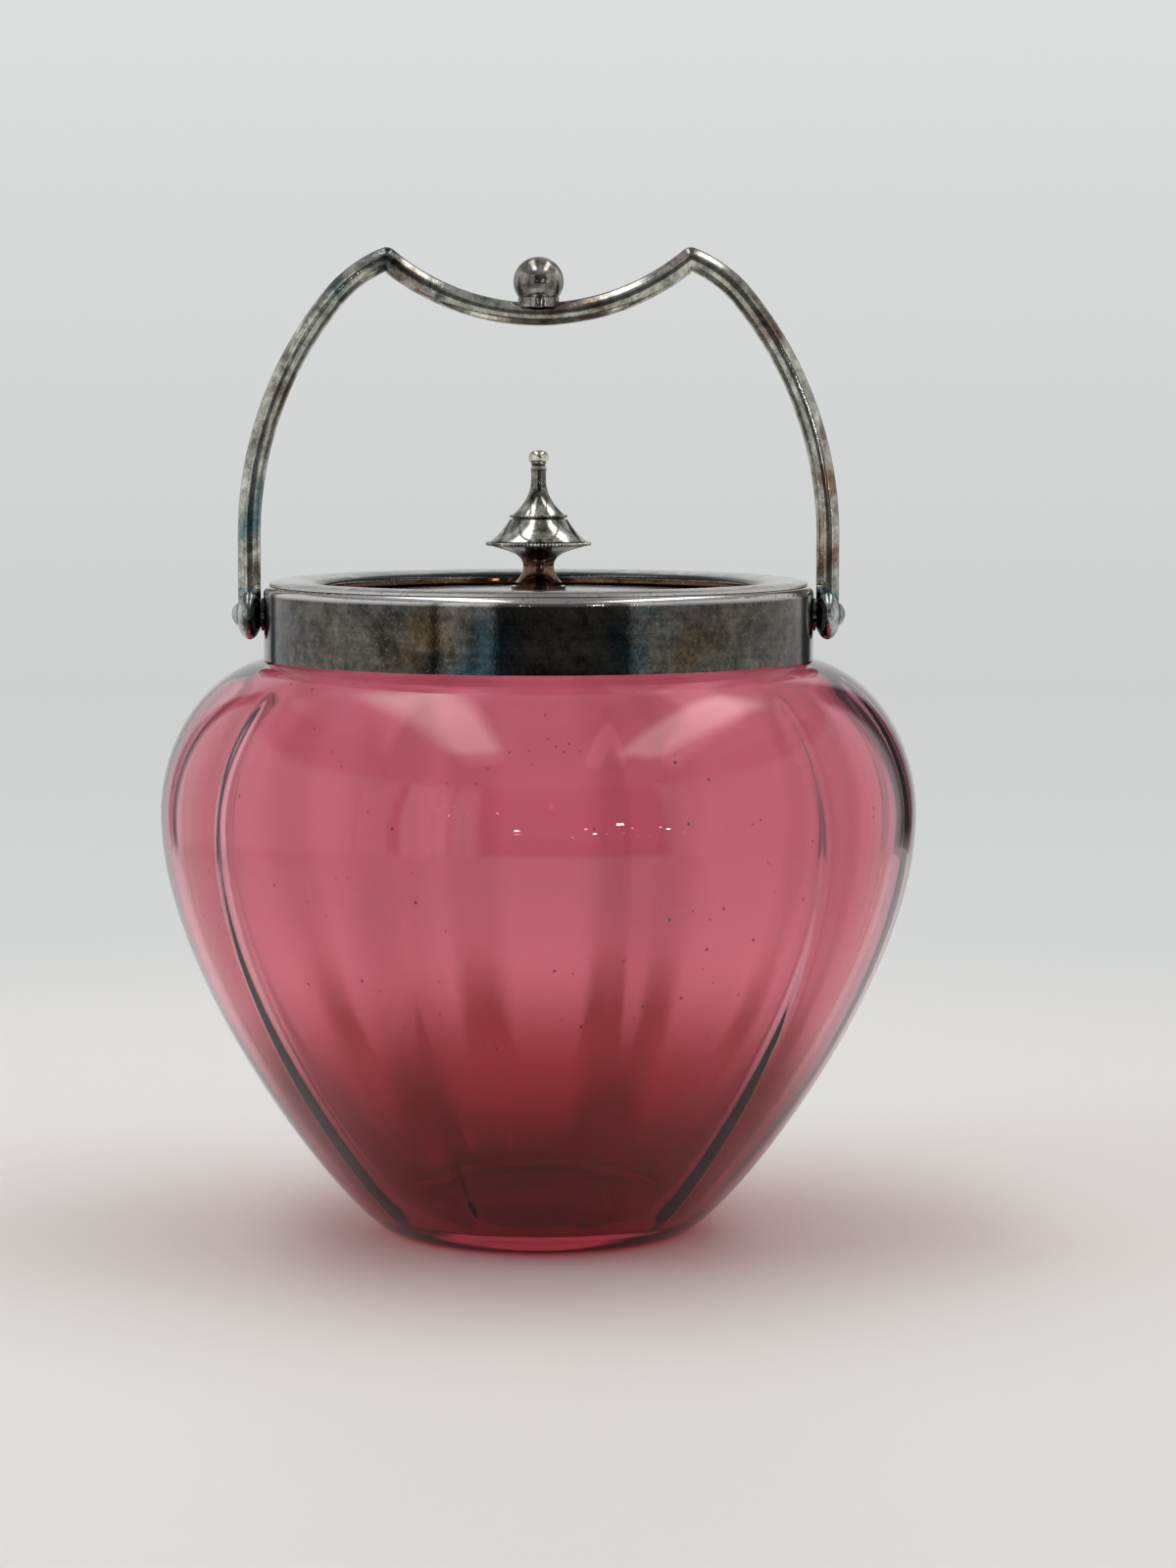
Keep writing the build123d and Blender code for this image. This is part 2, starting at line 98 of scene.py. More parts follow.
camera = {
    "lens": 92.25,
    "sensor": 36,
    "distance": 0.82596,
    "height": 0.1703,
    "lookDown": 5.406,   # degrees
    "shift": 0.03156,
    "farthest": 50,
}
bpy.ops.object.camera_add(location=(0, -camera["distance"], camera["height"]),
                          rotation=(math.radians(90 - camera["lookDown"]), 0, 0))
view = bpy.context.object
view.data.sensor_fit = "VERTICAL"
view.data.sensor_height = camera["sensor"]
view.data.lens = camera["lens"]
view.data.shift_x = camera["shift"]
view.data.clip_end = camera["farthest"]
bpy.context.scene.camera = view
bpy.context.scene.view_settings.view_transform = "Standard"
print("camera placed")

studio = {
    "floor": "#d8d6d2",
    "floorRoughness": 0.6,
    "floorRadius": 0.55,
    "floorSides": 128,
    "floorFade": (0.24, 0.52),   # metres over which the floor melts into the backdrop
    "backdropFoot": "#d3d6d5",
    # backdrop by the height of the line of sight, from just below the horizon up
    "backdrop": ((-0.13, "#d3d6d5"), (-0.07, "#cdd0cf"), (0.0, "#d4d6d5"), (0.10, "#dcdedd")),
    # the room as metal and glass see it, in degrees from straight behind over the left, the front and the
    # right: pale backdrop between two dark edges, pale walls, and a dark window in front
    "room": ((-180, 0.66), (-152, 0.66), (-149, 0.08), (-144, 0.10), (-141, 0.80), (-66, 0.85),
             (-46, 0.75), (-44, 0.10), (-42, 0.10), (-41, 0.95), (-28, 0.90), (-27, 0.35),
             (-26, 0.35), (-25, 0.90), (-20, 0.85), (-17, 0.10), (37, 0.12), (40, 0.80),
             (56, 0.70), (58, 0.60), (95, 0.70), (140, 0.72), (144, 0.08), (156, 0.06),
             (160, 0.64), (180, 0.66)),
    "wallFoot": (-0.19, -0.11),   # heights of sight between which the walls melt into the floor
    "ceilingStart": (28, 33),     # degrees above level
    "ceiling": "#9b9c9b",
    # lit panes on the ceiling, the same on both sides of a middle line that lies a little to the right:
    # each has where it starts, is full, fades and ends, across and then along, in heights of the ceiling,
    # and its colour and strength
    "paneMiddle": 0.125,
    "panes": (((0.20, 0.25, 0.95, 1.05), (-0.95, -0.75, 0.80, 0.95), "#b7b4c0", 1.0),
              ((0.27, 0.37, 0.50, 0.68), (-0.80, -0.55, 0.40, 0.80), "#ffffff", 3.0)),
    "lowestCeiling": 0.1,    # keeps the panes' places finite near the horizon
    # a ray that has crossed this much glass sees pale backdrop in front too, by how far ahead it looks
    "crossings": 2.5,
    "frontFill": {"From Min": 0.2, "From Max": 0.6, "To Max": 0.75},
}


def roomTones(tree, axes, ahead):
    # walls that melt into the floor, and the ceiling above them
    azimuth = addNode(tree, "Math", {"operation": "ARCTAN2"}, {0: (axes, "X"), 1: (ahead, 0)})
    around = addNode(tree, "MapRange", {"From Min": -math.pi, "From Max": math.pi},
                     {"Value": (azimuth, 0)})
    walls = addNode(tree, "ValToRGB", None, {"Fac": (around, 0)})
    fillRamp(walls, [((angle + 180) / 360, (level, level, level, 1)) for angle, level in studio["room"]])
    start, full = (math.sin(math.radians(angle)) for angle in studio["ceilingStart"])
    above = addNode(tree, "MapRange", {"interpolation_type": "SMOOTHSTEP", "From Min": start,
                                       "From Max": full}, {"Value": (axes, "Z")})
    foot, risen = studio["wallFoot"]
    risen = addNode(tree, "MapRange", {"interpolation_type": "SMOOTHSTEP", "From Min": foot,
                                       "From Max": risen}, {"Value": (axes, "Z")})
    walls = addNode(tree, "Mix", {"data_type": "RGBA", 6: linear(studio["backdropFoot"])},
                    {0: (risen, 0), 7: (walls, 0)})
    room = addNode(tree, "Mix", {"data_type": "RGBA", 7: linear(studio["ceiling"])},
                   {0: (above, 0), 6: (walls, 2)})
    return above, room


def hangPanes(tree, axes, above, room):
    upright = addNode(tree, "Math", {"operation": "MAXIMUM", 1: studio["lowestCeiling"]}, {0: (axes, "Z")})
    across = addNode(tree, "Math", {"operation": "DIVIDE"}, {0: (axes, "X"), 1: (upright, 0)})
    across = addNode(tree, "Math", {"operation": "SUBTRACT", 1: studio["paneMiddle"]}, {0: (across, 0)})
    across = addNode(tree, "Math", {"operation": "ABSOLUTE"}, {0: (across, 0)})
    along = addNode(tree, "Math", {"operation": "DIVIDE"}, {0: (axes, "Y"), 1: (upright, 0)})
    for wide, deep, colour, level in studio["panes"]:
        share = above
        for place, (start, full, fading, end) in ((across, wide), (along, deep)):
            for low, high in ((start, full), (end, fading)):
                edge = addNode(tree, "MapRange", {"interpolation_type": "SMOOTHSTEP", "From Min": low,
                                                  "From Max": high}, {"Value": (place, 0)})
                share = addNode(tree, "Math", {"operation": "MULTIPLY"}, {0: (share, 0), 1: (edge, 0)})
        pane = [level * c for c in linear(colour)[:3]] + [1]
        room = addNode(tree, "Mix", {"data_type": "RGBA", 7: pane}, {0: (share, 0), 6: (room, 2)})
    return room


def lightRoom():
    world = bpy.data.worlds.new("studio")
    bpy.context.scene.world = world
    world.use_nodes = True
    tree = world.node_tree
    tree.nodes.clear()
    rays = addNode(tree, "LightPath")
    sight = addNode(tree, "TexCoord")
    axes = addNode(tree, "SeparateXYZ", None, {0: (sight, "Generated")})
    ahead = addNode(tree, "Math", {"operation": "MULTIPLY", 1: -1.0}, {0: (axes, "Y")})
    above, room = roomTones(tree, axes, ahead)
    room = hangPanes(tree, axes, above, room)
    low, high = studio["backdrop"][0][0], studio["backdrop"][-1][0]
    height = addNode(tree, "MapRange", {"From Min": low, "From Max": high}, {"Value": (axes, "Z")})
    backdrop = addNode(tree, "ValToRGB", None, {"Fac": (height, 0)})
    fillRamp(backdrop, [((z - low) / (high - low), linear(colour)) for z, colour in studio["backdrop"]])
    # rays that cross the hollow jar towards the camera's side mostly see pale backdrop there too
    crossed = addNode(tree, "Math", {"operation": "GREATER_THAN", 1: studio["crossings"]},
                      {0: (rays, "Transmission Depth")})
    frontward = addNode(tree, "MapRange", {"interpolation_type": "SMOOTHSTEP", **studio["frontFill"]},
                        {"Value": (ahead, 0)})
    filled = addNode(tree, "Math", {"operation": "MULTIPLY"}, {0: (crossed, 0), 1: (frontward, 0)})
    plain = addNode(tree, "Math", {"operation": "MAXIMUM"}, {0: (filled, 0), 1: (rays, "Is Camera Ray")})
    seen = addNode(tree, "Mix", {"data_type": "RGBA"}, {0: (plain, 0), 6: (room, 2), 7: (backdrop, 0)})
    light = addNode(tree, "Background", {"Strength": 1.0}, {"Color": (seen, 2)})
    addNode(tree, "OutputWorld", None, {"Surface": (light, 0)})


lightRoom()

downlights = {"reach": 1.6, "from": (0, 0, 0.09)}   # metres from a point inside the jar


def downlightPlace(azimuth, rise):
    # azimuth in degrees from the front (-Y) towards +X, rise in degrees above level
    azimuth, rise = math.radians(azimuth), math.radians(rise)
    level = math.cos(rise)
    heading = Vector((math.sin(azimuth) * level, -math.cos(azimuth) * level, math.sin(rise)))
    return heading * downlights["reach"] + Vector(downlights["from"])


lampTarget = Vector((0, 0, 0.1))
lamps = {
    # name: place, width and height in metres, watts, whether polished surfaces mirror it
    "overheadBox": ((0.0, 0.25, 1.25), (1.3, 0.9), 5.0, False),
    "leftBox": ((-1.1, -0.35, 0.75), (0.5, 0.8), 3.0, False),
    "rightBox": ((1.3, -0.2, 0.9), (0.35, 0.7), 1.5, False),
    "downlightA": (downlightPlace(23.6, 9), (0.06, 0.03), 0.3, True),
    "downlightB": (downlightPlace(16, 4), (0.025, 0.02), 0.1, True),
    "downlightC": (downlightPlace(38, 5), (0.025, 0.02), 0.1, True),
    "downlightD": (downlightPlace(-6, 6), (0.05, 0.012), 0.08, True),
}
for name, (place, size, power, mirrored) in lamps.items():
    bpy.ops.object.light_add(type="AREA", location=place)
    lamp = bpy.context.object
    lamp.name = name
    lamp.data.shape = "RECTANGLE"
    lamp.data.size, lamp.data.size_y = size
    lamp.data.energy = power
    lamp.visible_glossy = lamp.visible_transmission = mirrored
    lamp.rotation_euler = (lampTarget - Vector(place)).to_track_quat("-Z", "Y").to_euler()


def floorMaterial():
    # matt paint near the jar, and the backdrop's own tone further out
    material = newMaterial("mattPaintedFloor")
    tree = material.node_tree
    spot = addNode(tree, "TexCoord")
    reach = addNode(tree, "VectorMath", {"operation": "LENGTH"}, {0: (spot, "Object")})
    near, far = studio["floorFade"]
    fade = addNode(tree, "MapRange", {"interpolation_type": "SMOOTHSTEP", "From Min": near,
                                      "From Max": far}, {"Value": (reach, "Value")})
    rays = addNode(tree, "LightPath")
    mirrored = addNode(tree, "Math", {"operation": "MAXIMUM"},
                       {0: (rays, "Is Glossy Ray"), 1: (rays, "Is Transmission Ray")})
    shown = addNode(tree, "Math", {"operation": "MAXIMUM"},
                    {0: (rays, "Is Camera Ray"), 1: (mirrored, 0)})
    blend = addNode(tree, "Math", {"operation": "MULTIPLY"}, {0: (fade, 0), 1: (shown, 0)})
    matt = addNode(tree, "BsdfPrincipled", {"Base Color": linear(studio["floor"]),
                                            "Roughness": studio["floorRoughness"]})
    glow = addNode(tree, "Emission", {"Color": linear(studio["backdropFoot"])})
    both = addNode(tree, "MixShader", None, {0: (blend, 0), 1: (matt, 0), 2: (glow, 0)})
    addNode(tree, "OutputMaterial", None, {"Surface": (both, 0)})
    return material


bpy.ops.mesh.primitive_circle_add(vertices=studio["floorSides"], radius=studio["floorRadius"],
                                  fill_type="NGON", location=(0, 0, 0))
floor = bpy.context.object
floor.name = "studioFloor"
dress(floor, floorMaterial())
print("studio lit")

# Metres and degrees. The outside is an arc round the heel, a curve up the wall and a quarter of an ellipse
# over the shoulder, and the lining follows it at the wall's thickness.
jar = {
    "around": 160, "panels": 10, "firstRib": -76.5,
    "ribHeight": 0.0012, "ribSharpness": 3.5, "ribUnevenness": 0.25, "ribsFrom": 0.013, "ribsTo": 0.105,
    "belly": 0.078, "bellyHeight": 0.086, "bellyWall": 0.0046, "neck": 0.0524, "neckWall": 0.0036,
    "shoulderRise": 0.0325, "foot": 0.0293, "footRing": 0.003, "heel": 0.0075, "slope": 36.8,
    "heelReach": 0.0149, "bellyReach": 0.0308, "baseWall": 0.0065, "kick": 0.0036, "floorCrown": 0.0032,
    "neckTop": 0.128,
    # rounded edges, as (outward, up) from the foot ring's inner edge and from the corner under the neck
    "footCurve": ((0.0004, 0.00012), (0.0013, 0), (0.0024, 0)),
    "neckCurve": ((0.0006, 0.0004), (0, 0.0016)),
    "lipRound": 0.0005,
    # where the lining turns out of the neck into the shoulder, from the mouth's wall and the shoulder's top
    "mouthCurve": ((0, 0.0035), (0.0003, 0.0013), (0.0014, -0.0009), (0.0033, -0.0025), (0.0060, -0.0036),
                   (0.0086, -0.0046)),
    # where the rings of the mesh lie: as shares of the flat foot's radius and of the heel's turn, as how
    # many up the wall, outside and inside, and as degrees up the shoulder and back down it
    "flatRings": (0.12, 0.35, 0.6, 0.8, 0.93),
    "heelRings": (0.25, 0.6, 1.0),
    "wallRings": (10, 12),
    "shoulderRings": (11, 22, 33, 44, 55, 66, 76, 84),
    "liningRings": (64, 54, 43, 32, 21, 10),
    "ribFade": (75, 35),    # degrees up the shoulder where the ribs start, and over which they grow
    "floorRibs": (0.8, 0.35, 0, 0, 0, 0),    # how far they run out over the flat inside, ring by ring
    # mesh columns from the middle of a panel at which a rib's flank starts, and its crest
    "flankColumn": 3, "crestColumn": 6,
}
sector = 360 / jar["panels"]    # degrees from rib to rib
slack = 0.1                     # degrees by which a vertex may lie short of a rib
nearby = 0.00002                # metres within which a vertex counts as lying on a line
nearTurn = 0.02                 # the same, as a share of half a panel

# Cranberry glass: soda glass coloured with a trace of gold, blown in a ribbed mould. It is rose where
# the wall is thin, and its rims show almost clear. The deep ruby towards the foot is partly the heavy
# foot's own colour and partly painted shade.
glass = {
    "outer": ("#ab3344", "#ee9aaa"),    # at the foot, and from the belly up; a ray crosses it twice
    "inner": ("#9f2636", "#f0b2c0"),
    "ior": 1.5,
    "footDeepeningAndShade": (0.022, 0.048),        # heights between which the foot's deep ruby, partly painted shade, thins out
    "ribFlank": (0.1, 1.0),             # from where on a panel's wave the glass counts as a rib
    "ribRise": 0.006,                   # how much higher the deep colour climbs along a rib
    "ribDepth": 0.22,                   # how much deeper the colour is along a rib, all the way up
    "shadow": "#f3a9b8",
    # specks and seeds caught in the glass: their spacing and radius, the dark share of that radius, and the
    # share of cells with none
    "seed": "#3a1c22", "seedSpacing": 0.0055, "seedSize": 0.00042, "seedEdge": 0.6, "seedless": 0.45,
    # drawn-out waves left by blowing, 30 to 60 mm long
    "waves": {"Scale": 22.0, "Detail": 1.0, "Roughness": 0.4},
    "ripple": {"Strength": 0.12, "Distance": 0.002},
}


def glassMaterial(name, tones):
    material = newMaterial(name)
    tree = material.node_tree
    spot = addNode(tree, "TexCoord")
    rays = addNode(tree, "LightPath")
    height = addNode(tree, "SeparateXYZ", None, {0: (spot, "Object")})
    # the glass is thicker, and so deeper in colour, along its ribs
    turn = addNode(tree, "Math", {"operation": "ARCTAN2"}, {0: (height, "Y"), 1: (height, "X")})
    phase = addNode(tree, "Math", {"operation": "MULTIPLY_ADD", 1: jar["panels"],
                                   2: -jar["panels"] * math.radians(jar["firstRib"])}, {0: (turn, 0)})
    swell = addNode(tree, "Math", {"operation": "COSINE"}, {0: (phase, 0)})
    flank, top = glass["ribFlank"]
    rib = addNode(tree, "MapRange", {"interpolation_type": "SMOOTHSTEP", "From Min": flank,
                                     "From Max": top}, {"Value": (swell, 0)})
    climb = addNode(tree, "Math", {"operation": "MULTIPLY_ADD", 1: -glass["ribRise"]},
                    {0: (rib, 0), 2: (height, "Z")})
    # deeper ruby towards the foot: partly the thick glass, partly painted shade
    deep, clear = glass["footDeepeningAndShade"]
    thin = addNode(tree, "MapRange", {"interpolation_type": "SMOOTHSTEP", "From Min": deep,
                                      "From Max": clear}, {"Value": (climb, 0)})
    level = addNode(tree, "Math", {"operation": "MULTIPLY_ADD", 1: -glass["ribDepth"], "use_clamp": True},
                    {0: (rib, 0), 2: (thin, 0)})
    shade = addNode(tree, "Mix", {"data_type": "RGBA", 6: linear(tones[0]), 7: linear(tones[1])},
                    {0: (level, 0)})
    # a few small dark seeds, one to a cell and only in some of the cells
    cells = addNode(tree, "TexVoronoi", {"Scale": 1 / glass["seedSpacing"]}, {"Vector": (spot, "Object")})
    rim = glass["seedSize"] / glass["seedSpacing"]
    seed = addNode(tree, "MapRange", {"From Min": rim, "From Max": rim * glass["seedEdge"]},
                   {"Value": (cells, "Distance")})
    pick = addNode(tree, "Math", {"operation": "GREATER_THAN", 1: glass["seedless"]}, {0: (cells, "Color")})
    speck = addNode(tree, "Math", {"operation": "MULTIPLY"}, {0: (seed, 0), 1: (pick, 0)})
    flecked = addNode(tree, "Mix", {"data_type": "RGBA", 7: linear(glass["seed"])},
                      {0: (speck, 0), 6: (shade, 2)})
    waves = addNode(tree, "TexNoise", glass["waves"], {"Vector": (spot, "Object")})
    ripple = addNode(tree, "Bump", glass["ripple"], {"Height": (waves, 0)})
    body = addNode(tree, "BsdfPrincipled", {"IOR": glass["ior"], "Roughness": 0.0,
                                            "Transmission Weight": 1.0},
                   {"Base Color": (flecked, 2), "Normal": (ripple, 0)})
    # shadows are let through with the colour of the glass, where a refracting shader would block them
    through = addNode(tree, "BsdfTransparent", {"Color": linear(glass["shadow"])})
    both = addNode(tree, "MixShader", None, {0: (rays, "Is Shadow Ray"), 1: (body, 0), 2: (through, 0)})
    addNode(tree, "OutputMaterial", None, {"Surface": (both, 0)})
    return material


def bezier(a, b, c, d, t):
    return tuple((1 - t) ** 3 * p + 3 * (1 - t) ** 2 * t * q + 3 * (1 - t) * t * t * r + t ** 3 * s
                 for p, q, r, s in zip(a, b, c, d))


def heelPoint(share):
    # a share of the way round the outside of the heel
    angle = math.radians(jar["slope"] * share)
    return jar["foot"] + jar["heel"] * math.sin(angle), jar["heel"] * (1 - math.cos(angle))


def wallCurve(heel, belly):
    # control points of the wall, from the heel up its slope and round to the widest point
    run, rise = math.cos(math.radians(jar["slope"])), math.sin(math.radians(jar["slope"]))
    return (heel, (heel[0] + jar["heelReach"] * run, heel[1] + jar["heelReach"] * rise),
            (belly, jar["bellyHeight"] - jar["bellyReach"]), (belly, jar["bellyHeight"]))


def outsideRings():
    # rings as (radius, height, depth of the ribs), from under the foot up to the mouth
    edge = jar["foot"] - jar["footRing"]
    shoulder = jar["bellyHeight"] + jar["shoulderRise"]
    rings = [(edge * share, jar["kick"] * (1 - share ** 2), 0) for share in jar["flatRings"]]
    rings += [(edge + away, above, 0) for away, above in jar["footCurve"]]
    rings += [(*heelPoint(share), 0) for share in jar["heelRings"]]
    side = wallCurve(heelPoint(1), jar["belly"])
    steps = jar["wallRings"][0]
    rings += [(*bezier(*side, step / steps), 0) for step in range(1, steps + 1)]
    for angle in jar["shoulderRings"]:
        angle = math.radians(angle)
        rings.append((jar["neck"] + (jar["belly"] - jar["neck"]) * math.cos(angle),
                      jar["bellyHeight"] + jar["shoulderRise"] * math.sin(angle), 0))
    rings += [(jar["neck"] + away, shoulder + above, 0) for away, above in jar["neckCurve"]]
    rings += [(jar["neck"], jar["neckTop"] - jar["lipRound"], 0),
              (jar["neck"] - jar["lipRound"], jar["neckTop"], 0)]
    return rings


def liningRings():
    # the same, from the mouth down to the middle of the inside
    run, rise = math.cos(math.radians(jar["slope"])), math.sin(math.radians(jar["slope"]))
    shoulder = jar["bellyHeight"] + jar["shoulderRise"]
    mouth = jar["neck"] - jar["neckWall"]
    belly = jar["belly"] - jar["bellyWall"]
    radius, height = heelPoint(1)
    heel = (radius - jar["baseWall"] * rise, height + jar["baseWall"] * run)
    rings = [(mouth + jar["lipRound"], jar["neckTop"], 0), (mouth, jar["neckTop"] - jar["lipRound"], 0)]
    rings += [(mouth + away, shoulder + above, 0) for away, above in jar["mouthCurve"]]
    for angle in jar["liningRings"]:
        fadeIn = min(1, (jar["ribFade"][0] - angle) / jar["ribFade"][1])
        angle = math.radians(angle)
        rings.append((mouth + (belly - mouth) * math.cos(angle),
                      jar["bellyHeight"] + (jar["shoulderRise"] - jar["neckWall"]) * math.sin(angle), fadeIn))
    side = wallCurve(heel, belly)
    steps = jar["wallRings"][1]
    rings += [(*bezier(*side, step / steps), 1) for step in range(steps, 0, -1)]
    for share, ribs in zip((1, *reversed(jar["flatRings"])), jar["floorRibs"]):
        rings.append((heel[0] * share, heel[1] + jar["floorCrown"] * (1 - share ** 2), ribs))
    return rings


def choose(mesh, wanted):
    # selects just the edit mesh's wanted vertices, and the edges and faces between them
    bpy.ops.mesh.select_all(action="DESELECT")
    for vert in mesh.verts:
        vert.select = wanted(vert)
    mesh.select_flush_mode()


def sweep(vert):
    # degrees on from the first rib, a little below zero where a vertex lies just short of it
    return (math.degrees(math.atan2(vert.co.y, vert.co.x)) - jar["firstRib"] + slack) % 360 - slack


def crest(vert):
    # 1 on a rib, 0 in the middle of a panel
    return abs(sweep(vert) / sector % 1 - 0.5) * 2


def pullIn(turn, share, radius, height=0):
    # draws what is selected towards the jar's axis, sharply near a rib
    pull = 1 - share * jar["ribHeight"] * turn ** jar["ribSharpness"] / radius
    bpy.ops.transform.resize(value=(pull, pull, 1), center_override=(0, 0, height))


def drawPanel(rings):
    # the wall of one panel, from rib to rib, is drawn ring by ring
    bpy.ops.mesh.primitive_circle_add(vertices=jar["around"], radius=rings[0][0],
                                      location=(0, 0, rings[0][1]))
    obj = bpy.context.object
    obj.name = "glassBody"
    bpy.ops.object.transform_apply(location=True)
    bpy.ops.object.mode_set(mode="EDIT")
    bpy.ops.mesh.select_mode(type="VERT")
    choose(bmesh.from_edit_mesh(obj.data), lambda vert: sweep(vert) > sector + slack)
    bpy.ops.mesh.delete(type="VERT")
    bpy.ops.mesh.select_all(action="SELECT")
    for (radius, height, _), (newRadius, newHeight, _) in zip(rings, rings[1:]):
        bpy.ops.mesh.extrude_edges_move(TRANSFORM_OT_translate={"value": (0, 0, newHeight - height)})
        grow = newRadius / radius
        bpy.ops.transform.resize(value=(grow, grow, 1), center_override=(0, 0, newHeight))
    return obj


def raiseRibs(obj, rings, columns, flank):
    # where two panels meet the wall swells into a rib
    mesh = bmesh.from_edit_mesh(obj.data)
    for index, (radius, height, ribs) in enumerate(rings):
        for turn in flank if ribs else ():
            choose(mesh, lambda vert: vert.index // columns == index and abs(crest(vert) - turn) < nearTurn)
            pullIn(turn, ribs, radius, height)


def repeatPanel(obj):
    bpy.ops.mesh.select_all(action="SELECT")
    bpy.ops.mesh.spin(steps=jar["panels"] - 1, dupli=True, angle=2 * math.pi * (1 - 1 / jar["panels"]),
                      center=(0, 0, 0), axis=(0, 0, 1))
    bpy.ops.mesh.select_all(action="SELECT")
    bpy.ops.mesh.remove_doubles(threshold=nearby / 2)


def closeEnds(obj, ends):
    # the open ends, under the foot and inside, are closed with even squares
    mesh = bmesh.from_edit_mesh(obj.data)
    for slot, (radius, height, _) in enumerate(ends):
        obj.active_material_index = slot
        choose(mesh, lambda vert: abs(vert.co.z - height) < nearby
               and abs(vert.co.xy.length - radius) < nearby)
        bpy.ops.mesh.fill_grid(span=jar["around"] // 4)
    bpy.ops.mesh.select_all(action="SELECT")
    bpy.ops.mesh.normals_make_consistent(inside=False)


def unevenRibs(obj, crests):
    # no two ribs stand out alike
    mesh = bmesh.from_edit_mesh(obj.data)
    for number in range(jar["panels"]):
        uneven = jar["ribUnevenness"] * random.uniform(-1, 1)
        for turn in crests:
            choose(mesh, lambda vert: round(sweep(vert) / sector) % jar["panels"] == number
                   and abs(crest(vert) - turn) < nearTurn and jar["ribsFrom"] < vert.co.z < jar["ribsTo"]
                   and all(face.material_index for face in vert.link_faces))
            pullIn(turn, uneven, jar["belly"])


def buildGlass():
    outside = outsideRings()
    rings = outside + liningRings()
    steps = jar["around"] // jar["panels"] // 2    # mesh columns from the middle of a panel to its rib
    columns = 2 * steps + 1
    dropSelection()
    obj = drawPanel(rings)
    raiseRibs(obj, rings, columns, [step / steps for step in range(jar["flankColumn"], steps + 1)])
    # the lining starts at the ground edge of the mouth
    choose(bmesh.from_edit_mesh(obj.data), lambda vert: vert.index // columns >= len(outside))
    dress(obj, glassMaterial("goldRubyGlassOutside", glass["outer"]),
          glassMaterial("goldRubyGlassInside", glass["inner"]))
    obj.active_material_index = 1
    bpy.ops.object.material_slot_assign()
    repeatPanel(obj)
    closeEnds(obj, (rings[0], rings[-1]))
    unevenRibs(obj, [step / steps for step in range(jar["crestColumn"], steps + 1)])
    bpy.ops.object.mode_set(mode="OBJECT")
    smooth = obj.modifiers.new("fire polish", "SUBSURF")
    smooth.levels = smooth.render_levels = 1
    bpy.ops.object.modifier_apply(modifier="fire polish")
    bpy.ops.object.shade_smooth()
    return obj


glassBody = buildGlass()
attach(glassBody, "jar")
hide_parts("glass_jar")
print("glass blown:", len(glassBody.data.polygons), "faces")

# Silver plate on nickel silver or Britannia metal, spun, turned or drawn, and long unpolished: a dark
# mirror under a film of tarnish that runs from olive and brown to teal, with fine pits and old polishing
# lines. Each finish has the sound plate, the tarnished plate, worn patches that show the warm metal
# below, the blue film, the crystals, and how much of each.
plate = {
    "collar": {"bright": "#5a5752", "dull": "#292a27",
               "warm": "#5f4c33", "cool": "#33474d", "fleck": "#a59977",
               "dulled": 0.55, "warmed": 0.5, "cooled": 0.5, "flecked": 0.42,
               "roughness": 0.06, "cloud": 0.022, "turned": True},
    "lid": {"bright": "#b7b5b2", "dull": "#737473",
            "warm": "#866c5b", "cool": "#6c8b8f", "fleck": "#c9c5bd",
            "dulled": 0.4, "warmed": 0.3, "cooled": 0.35, "flecked": 0.3,
            "roughness": 0.07, "cloud": 0.02, "turned": True},
    "handle": {"bright": "#b5b5a9", "dull": "#3f4443",
               "warm": "#7d6759", "cool": "#58787c", "fleck": "#d6d2c4",
               "dulled": 0.65, "warmed": 0.55, "cooled": 0.5, "flecked": 0.3,
               "roughness": 0.09, "cloud": 0.012, "turned": False},
    "ball": {"bright": "#bbb7ae", "dull": "#77726a",
             "warm": "#8f7a6a", "cool": "#6f7674", "fleck": "#cfcbc2",
             "dulled": 0.4, "warmed": 0.3, "cooled": 0.2, "flecked": 0.3,
             "roughness": 0.10, "cloud": 0.006, "turned": False},
    "knuckle": {"bright": "#acb1ae", "dull": "#3b4647",
                "warm": "#826555", "cool": "#547d84", "fleck": "#cfcbc2",
                "dulled": 0.5, "warmed": 0.3, "cooled": 0.5, "flecked": 0.3,
                "roughness": 0.12, "cloud": 0.006, "turned": False},
    "finial": {"bright": "#d0cdbf", "dull": "#5c5e57",
               "warm": "#94806b", "cool": "#7b9192", "fleck": "#e2dfd8",
               "dulled": 0.5, "warmed": 0.3, "cooled": 0.4, "flecked": 0.2,
               "roughness": 0.05, "cloud": 0.005, "turned": True},
    # the spool's brown is a painted reflection of the lid around it
    "spool": {"bright": "#75594b", "dull": "#392a23",
              "warm": "#86604c", "cool": "#4a4f4a", "fleck": "#c2a796",
              "dulled": 0.5, "warmed": 0.5, "cooled": 0.2, "flecked": 0.25,
              "roughness": 0.10, "cloud": 0.005, "turned": True},
    "nickel": {"bright": "#a5a191", "dull": "#6d6a60",
               "warm": "#7d7360", "cool": "#777b76", "fleck": "#c9c5bd",
               "dulled": 0.4, "warmed": 0.2, "cooled": 0.1, "flecked": 0.25,
               "roughness": 0.22, "cloud": 0.004, "turned": True},
}

